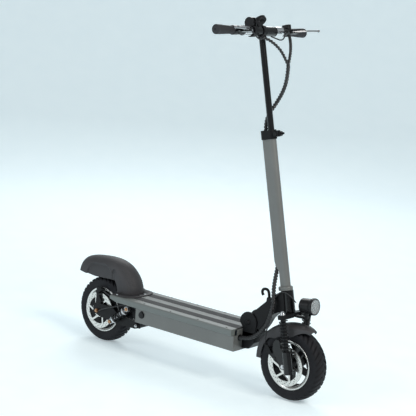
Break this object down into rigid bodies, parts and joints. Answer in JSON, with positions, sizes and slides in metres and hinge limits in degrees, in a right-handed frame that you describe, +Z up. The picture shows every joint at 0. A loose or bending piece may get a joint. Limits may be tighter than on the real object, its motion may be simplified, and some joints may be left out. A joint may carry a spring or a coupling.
{
  "type": "electric kick scooter",
  "caption": "Folding electric kick scooter: battery deck, sprung wheels with disc brakes, telescopic column and folding handlebars with grips and levers.",
  "frame": {"origin": "on the ground, midway between the tail of the rear mudguard and the front of the front tyre", "axes": "+X forward, +Y to the rider's left, +Z up"},
  "size_m": [1.165, 0.504, 1.302],
  "materials": {
    "body_paint": "satin mid-grey paint",
    "fender_plastic": "moulded dark grey plastic",
    "deck_rubber": "ribbed black rubber",
    "tyre_rubber": "black tread rubber",
    "black_metal": "satin black powder coat",
    "black_plastic": "fine-grained black plastic",
    "grip_rubber": "soft black rubber",
    "bright_steel": "brushed steel",
    "chrome_steel": "polished chrome",
    "bare_alloy": "machined aluminium",
    "lamp_lens": "clear lamp lens",
    "button_red": "red button",
    "cable_wrap": "black spiral cable wrap",
    "battery_wrap": "shrink-wrapped cells"
  },
  "bodies": {
    "frame": {"deck_box": "body_paint", "deck_plate": "body_paint", "deck_strips": "deck_rubber", "fasteners": "bright_steel", "battery_pack": "battery_wrap", "controller": "bare_alloy", "box_grommets": "black_plastic", "rear_bracket": "black_metal", "rear_fender": "fender_plastic", "hinge_base": "black_metal", "rear_cables": "cable_wrap"},
    "port_cap": {"charge_cap": "black_plastic"},
    "stand": {"kickstand": "black_metal"},
    "swing": {"swingarm": "black_metal", "rear_axle": "bright_steel", "rear_caliper": "black_metal"},
    "rear_wheel": {"rear_tyre": "tyre_rubber", "rear_motor": "black_metal", "rear_rotor": "bright_steel"},
    "rear_arm": {"rear_caliper_arm": "black_metal"},
    "shock_outer": {"shock_bodies": "bare_alloy", "shock_springs": "black_metal"},
    "shock_inner": {"shock_rods": "chrome_steel"},
    "neck": {"neck_arm": "black_metal", "head_tube": "black_metal", "headset_bearings": "bright_steel"},
    "hook": {"hook_lever": "black_metal"},
    "steering": {"fork_crown": "black_metal", "column": "body_paint", "column_collar": "body_paint", "column_clamp": "black_metal", "harness": "cable_wrap", "fork_springs": "black_metal"},
    "knob": {"clamp_knob": "black_plastic"},
    "lamp": {"headlight": "black_plastic", "headlight_lens": "lamp_lens"},
    "fork": {"fork_lowers": "black_metal", "front_axle": "bright_steel", "front_fender": "fender_plastic", "front_caliper": "black_metal"},
    "front_wheel": {"front_tyre": "tyre_rubber", "front_rim": "black_metal", "front_rotor": "bright_steel"},
    "front_arm": {"front_caliper_arm": "black_metal"},
    "stem": {"inner_column": "black_metal", "tee": "black_metal", "display": "black_plastic", "throttle_body": "black_plastic"},
    "mode_key": {"display_button": "black_plastic"},
    "trigger": {"throttle_trigger": "black_plastic"},
    "sleeve_right": {"lock_sleeve_right": "chrome_steel"},
    "sleeve_left": {"lock_sleeve_left": "chrome_steel"},
    "bar_right": {"handlebar_right": "black_metal", "grip_right": "grip_rubber"},
    "bar_left": {"handlebar_left": "black_metal", "grip_left": "grip_rubber", "switch_box": "black_plastic"},
    "lever_right": {"brake_lever_right": "bare_alloy"},
    "lever_left": {"brake_lever_left": "bare_alloy"},
    "horn": {"horn_button": "button_red"}
  },
  "joints": [
    {"name": "column_fold", "type": "hinge", "parent": "frame", "child": "neck", "pos_m": [0.2725, 0, 0.238], "axis": [0, -1, 0], "range_deg": [0, 77]},
    {"name": "hook_release", "type": "hinge", "parent": "neck", "child": "hook", "pos_m": [0.3325, 0, 0.33], "axis": [0, -1, 0], "range_deg": [0, 25], "stiffness_Nm_per_rad": 0.6, "springref_deg": -5.73},
    {"name": "steer", "type": "hinge", "parent": "neck", "child": "steering", "pos_m": [0.41279, 0, 0.34149], "axis": [-0.2192, 0, 0.9757], "range_deg": [-40, 40]},
    {"name": "fork_travel", "type": "slide", "parent": "steering", "child": "fork", "axis": [-0.2192, 0, 0.9757], "range_m": [0, 0.018], "stiffness_N_per_m": 12000, "springref_m": -0.008, "deforming": ["fork_springs"]},
    {"name": "front_wheel_spin", "type": "hinge", "parent": "fork", "child": "front_wheel", "pos_m": [0.4555, 0, 0.127], "axis": [0, 1, 0], "continuous": true},
    {"name": "front_brake_arm", "type": "hinge", "parent": "fork", "child": "front_arm", "pos_m": [0.39274, -0.057, 0.16621], "axis": [0, 1, 0], "range_deg": [0, 20]},
    {"name": "column_telescope", "type": "slide", "parent": "steering", "child": "stem", "axis": [-0.2192, 0, 0.9757], "range_m": [-0.28, 0], "deforming": ["harness"]},
    {"name": "clamp_knob_turn", "type": "hinge", "parent": "steering", "child": "knob", "pos_m": [0.30943, 0, 0.90658], "axis": [0, 1, 0], "range_deg": [0, 180]},
    {"name": "headlight_tilt", "type": "hinge", "parent": "steering", "child": "lamp", "pos_m": [0.4995, 0, 0.3005], "axis": [0, 1, 0], "range_deg": [-2, 12]},
    {"name": "handlebar_right_fold", "type": "hinge", "parent": "stem", "child": "bar_right", "pos_m": [0.20941, -0.126, 1.24693], "axis": [0.9757, 0, 0.2192], "range_deg": [0, 90]},
    {"name": "handlebar_left_fold", "type": "hinge", "parent": "stem", "child": "bar_left", "pos_m": [0.20941, 0.126, 1.24693], "axis": [-0.9757, 0, -0.2192], "range_deg": [0, 90]},
    {"name": "lock_sleeve_right_slide", "type": "slide", "parent": "stem", "child": "sleeve_right", "axis": [0, 1, 0], "range_m": [-0.012, 0]},
    {"name": "lock_sleeve_left_slide", "type": "slide", "parent": "stem", "child": "sleeve_left", "axis": [0, -1, 0], "range_m": [-0.012, 0]},
    {"name": "brake_lever_right_pull", "type": "hinge", "parent": "bar_right", "child": "lever_right", "pos_m": [0.24648, -0.132, 1.25526], "axis": [0.2192, 0, -0.9757], "range_deg": [0, 22], "stiffness_Nm_per_rad": 0.8, "springref_deg": -8.59},
    {"name": "brake_lever_left_pull", "type": "hinge", "parent": "bar_left", "child": "lever_left", "pos_m": [0.24648, 0.132, 1.25526], "axis": [-0.2192, 0, 0.9757], "range_deg": [0, 22], "stiffness_Nm_per_rad": 0.8, "springref_deg": -8.59},
    {"name": "throttle_pull", "type": "hinge", "parent": "stem", "child": "trigger", "pos_m": [0.2113, -0.052, 1.27503], "axis": [0, 1, 0], "range_deg": [0, 25], "stiffness_Nm_per_rad": 0.15, "springref_deg": -8.59},
    {"name": "mode_press", "type": "slide", "parent": "stem", "child": "mode_key", "axis": [0.7029, 0, -0.7113], "range_m": [0, 0.0015], "stiffness_N_per_m": 300, "springref_m": -0.0005},
    {"name": "horn_press", "type": "slide", "parent": "bar_left", "child": "horn", "axis": [0.2192, 0, -0.9757], "range_m": [0, 0.0015], "stiffness_N_per_m": 300, "springref_m": -0.0005},
    {"name": "swingarm_pivot", "type": "hinge", "parent": "frame", "child": "swing", "pos_m": [-0.2335, 0, 0.112], "axis": [0, 1, 0], "range_deg": [0, 7], "stiffness_Nm_per_rad": 700, "springref_deg": -3.44, "deforming": ["rear_cables"]},
    {"name": "rear_wheel_spin", "type": "hinge", "parent": "swing", "child": "rear_wheel", "pos_m": [-0.4395, 0, 0.127], "axis": [0, 1, 0], "continuous": true},
    {"name": "rear_brake_arm", "type": "hinge", "parent": "swing", "child": "rear_arm", "pos_m": [-0.44208, -0.057, 0.20095], "axis": [0, 1, 0], "range_deg": [0, 20]},
    {"name": "shock_pivot", "type": "hinge", "parent": "frame", "child": "shock_outer", "pos_m": [-0.2685, 0, 0.172], "axis": [0, 1, 0], "range_deg": [0, 6.6]},
    {"name": "shock_stroke", "type": "slide", "parent": "shock_outer", "child": "shock_inner", "axis": [0.7722, 0, 0.6354], "range_m": [0, 0.009], "deforming": ["shock_springs"]},
    {"name": "kickstand_swing", "type": "hinge", "parent": "frame", "child": "stand", "pos_m": [0.1605, 0.09, 0.15], "axis": [0, -1, 0], "range_deg": [0, 95]},
    {"name": "charge_cap_flip", "type": "hinge", "parent": "frame", "child": "port_cap", "pos_m": [-0.1865, -0.0833, 0.1825], "axis": [-1, 0, 0], "range_deg": [0, 80]}
  ],
  "couplings": [
    {"joint": "shock_pivot", "follows": "swingarm_pivot", "ratio": 0.927},
    {"joint": "shock_stroke", "follows": "swingarm_pivot", "m_per_rad": 0.069},
    {"joint": "front_brake_arm", "follows": "brake_lever_left_pull", "ratio": 0.9},
    {"joint": "rear_brake_arm", "follows": "brake_lever_right_pull", "ratio": 0.9}
  ]
}
